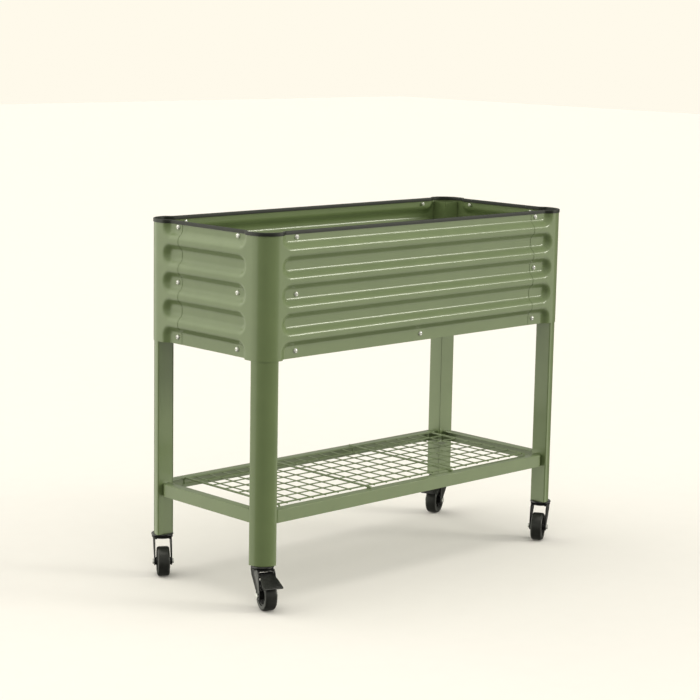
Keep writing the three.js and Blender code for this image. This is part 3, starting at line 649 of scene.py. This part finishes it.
UPRIGHT = Matrix.Rotation(math.pi / 2, 4, "X")   # a turned part's axis from Z to Y


def rounded_band(inner, outer, half, bevel, crown=0.0):
    """Closed profile of a ring: rounded outer corners and a slightly crowned tread."""
    profile = [(inner, -half + 1.0)]
    profile += arc(outer - bevel, -half + bevel, bevel, -90, 0, 6)
    profile += [(outer + crown, 0.0)]
    profile += arc(outer - bevel, half - bevel, bevel, 0, 90, 6)
    profile += [(inner, half - 1.0)]
    return profile


def stem_parts():
    """Swivel race under the leg, its kingpin with a head below the fork, and the stem above."""
    race = [(0.0, 91.7), (22.0, 91.7), (25.2, 92.6), (26.0, 94.0), (26.0, 96.0), (24.8, 97.4)]
    race += [(0.0, 97.4)]
    pin = [(0.0, 83.9), (7.6, 83.9), (8.8, 84.8), (9.0, 86.6), (4.6, 86.7), (4.6, 92.0), (0.0, 92.0)]
    stem = [(0.0, 97.0), (5.0, 97.0), (5.0, 122.0), (4.2, 123.4), (0.0, 123.4)]
    return [lathe(race, 40), lathe(pin, 24), lathe(stem, 20)]


def fork_parts():
    """Pressed crown over two arms that taper back to the axle."""
    crown = [(5.2, 87.3), (24.0, 87.3), (25.0, 88.2), (24.6, 90.2), (23.0, 91.1), (5.2, 91.1)]
    outline = [(-21, 91), (-20.5, 82), (-16, 72), (TRAIL - 9.6, 39)]
    outline += arc(TRAIL, WHEEL_RADIUS, 10, 195, 360, 12)
    outline += [(37.5, 43), (31.5, 73), (29, 83), (21, 91)]
    arm = prism(outline, 0.0, ARM_WALL, 0.7)
    parts = [lathe(crown, 40)]
    for outer_face in (ARM_GAP + ARM_WALL, -ARM_GAP):
        swing = Matrix.Translation((0, outer_face, 0)) @ UPRIGHT
        parts.append(turned(arm, swing))
    for side in (1, -1):
        shoulder = [(x, side * y) for x, y in [(-20, 14), (-20, 20.6), (22, 20.6), (22, 14)]]
        parts.append(prism(shoulder, 86.0, 90.6, 1.4, 3))
    return parts


def hub_part():
    """Hub with a dished face, a boss on each side and a bore for the axle."""
    half = WHEEL_WIDTH / 2
    face = [(4.8, 17.9), (8.6, 17.9), (9.2, 17.2), (9.8, half - 5.5), (12, half - 6.2)]
    face += [(19, half - 6.2), (20.5, half - 3.2), (23.2, half - 2.8)]
    return lathe([(r, -z) for r, z in face] + [(r, z) for r, z in reversed(face)], 40)


def spokes():
    """Thin ribs in the dish on both faces of the hub."""
    parts = []
    for k in range(8):
        turn = Matrix.Rotation(math.radians(45 * k), 4, "Z")
        for side in (1, -1):
            rib = prism([(9, -0.8), (21, -0.8), (21, 0.8), (9, 0.8)], 7.0, 10.4, 0.3, 1)
            parts.append(turned(rib, turn @ Matrix.Scale(side, 4, (0, 0, 1))))
    return parts


def axle_parts():
    """Axle bolt along Z, with a hexagon head under one arm and a nut over the other."""
    half, shank, thick = 21.4, 3.9, 3.6
    hexagon = prism(arc(0, 0, 6.4, 0, 300, 5), 0.0, thick, 0.5)
    nut = turned(hexagon, Matrix.Translation((0, 0, half)))
    head = turned(hexagon, Matrix.Translation((0, 0, -half - thick)))
    profile = [(0, -half - 1), (shank, -half - 1), (shank, half + 3.2), (3.2, half + 3.9)]
    bolt = lathe(profile + [(0, half + 3.9)], 20)
    return [nut, head, bolt]


def pedal_parts():
    """Sloping lever that widens to a ribbed tread, with a shoe and its pivot under it."""
    run, rise = PEDAL_TIP[0] - PEDAL_HEEL[0], PEDAL_TIP[1] - PEDAL_HEEL[1]
    slope = math.atan2(rise, run)
    length = math.hypot(rise, run)
    plan = [(0, -17.2), (15.5, -17.4), (27, -20.4), (length - 5, -23.5)]
    plan += arc(length - 3.5, -20, 3.5, -75, 0, 5) + arc(length - 3.5, 20, 3.5, 0, 75, 5)
    plan += [(length - 5, 23.5), (27, 20.4), (15.5, 17.4), (0, 17.2)]
    heel = Matrix.Translation((PEDAL_HEEL[0], 0, PEDAL_HEEL[1]))
    lean = heel @ Matrix.Rotation(-slope, 4, "Y")
    parts = [turned(prism(plan, -2.4, -0.9, 0.5), lean)]
    for k in range(11):
        x, reach = 9 + 4.6 * k, 14.5 + 0.5 * k
        outline = [(x - 1, -reach), (x + 1, -reach), (x + 1, reach), (x - 1, reach)]
        rib = prism(outline, -1.2, -0.1, 0.4, 2)
        parts.append(turned(rib, lean))
    shoe = prism([(41, 71.8), (48.8, 68.4), (50, 71.5), (41, 75.5)], -8.5, 8.5, 0.5)
    parts.append(turned(shoe, UPRIGHT))
    ear = prism([(20, 74.5), (28, 74.5), (29.5, 80), (21, 84)], 0.0, 1.8, 0.4)
    for offset in (-15.6, 17.4):
        parts.append(turned(ear, Matrix.Translation((0, offset, 0)) @ UPRIGHT))
    pin = lathe([(0, -17.9), (2.4, -17.9), (2.4, 17.9), (0, 17.9)], 16)
    parts.append(turned(pin, Matrix.Translation((25, 0, 77)) @ UPRIGHT))
    return parts


def add_casters():
    """Four casters, each built along its own heading and shared out among its moving bodies."""
    tyre = [lathe(rounded_band(23.6, WHEEL_RADIUS - 0.2, WHEEL_WIDTH / 2, 5.0, 0.15), 56)]
    wheel = Matrix.Translation((TRAIL, 0, WHEEL_RADIUS)) @ UPRIGHT
    kinds = [
        ("stem", stem_parts(), Matrix.Identity(4), BLACK, "caster_black", "root"),
        ("fork", fork_parts(), Matrix.Identity(4), BLACK, "caster_black", "swivel"),
        ("tyre", tyre, wheel, TYRE, "wheel_tyre", "wheel"),
        ("hub", [hub_part()] + spokes(), wheel, NYLON, "wheel_hub", "wheel"),
        ("axle", axle_parts(), wheel, ZINC, "bright_steel", "swivel"),
    ]
    for corner, (sx, sy) in SIGNS.items():
        spot = Matrix.Translation((sx * (LEG_X + STEM_OFFSET), sy * (LEG_Y + STEM_OFFSET), 0))
        heading = spot @ Matrix.Rotation(math.radians(HEADINGS[corner]), 4, "Z")
        for kind, parts, local, material, slot, rider in kinds:
            body = rider if rider == "root" else f"{rider}_{corner}"
            mesh = joined(f"{kind}_{corner}", [to_row(p, heading @ local) for p in parts])
            finish_piece(f"{kind}_{corner}", mesh, material, body, [f"caster_{kind}_{corner}"])
        if corner in BRAKED:
            mesh = joined(f"pedal_{corner}_lever", [to_row(p, heading) for p in pedal_parts()])
            finish_piece(f"pedal_{corner}_lever", mesh, BLACK, f"pedal_{corner}",
                         [f"brake_pedal_{corner}"])


# ---- the rest ------------------------------------------------------------------------------

def paint_cad_nodes():
    """Paint for the trough's floor and its beam, which keep their CAD shape."""
    for name in ("floor_panel_left", "floor_panel_right", "cross_beam"):
        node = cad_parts[name]
        node.data.materials.clear()
        node.data.materials.append(GREEN)


def add_floor():
    """A pale floor that the camera sees, but that neither shades nor tints the object."""
    work = bmesh.new()
    bmesh.ops.create_grid(work, x_segments=8, y_segments=8, size=20.0)
    mesh = bpy.data.meshes.new("studio_floor")
    work.to_mesh(mesh)
    work.free()
    mesh.materials.append(FLOOR)
    floor = bpy.data.objects.new("studio_floor", mesh)
    bpy.context.scene.collection.objects.link(floor)
    floor.visible_diffuse = False
    floor.visible_glossy = False
    floor.visible_shadow = False


add_panels()
add_rim()
add_bolts()
add_legs()
add_rails()
add_shelf()
add_casters()
paint_cad_nodes()
add_floor()
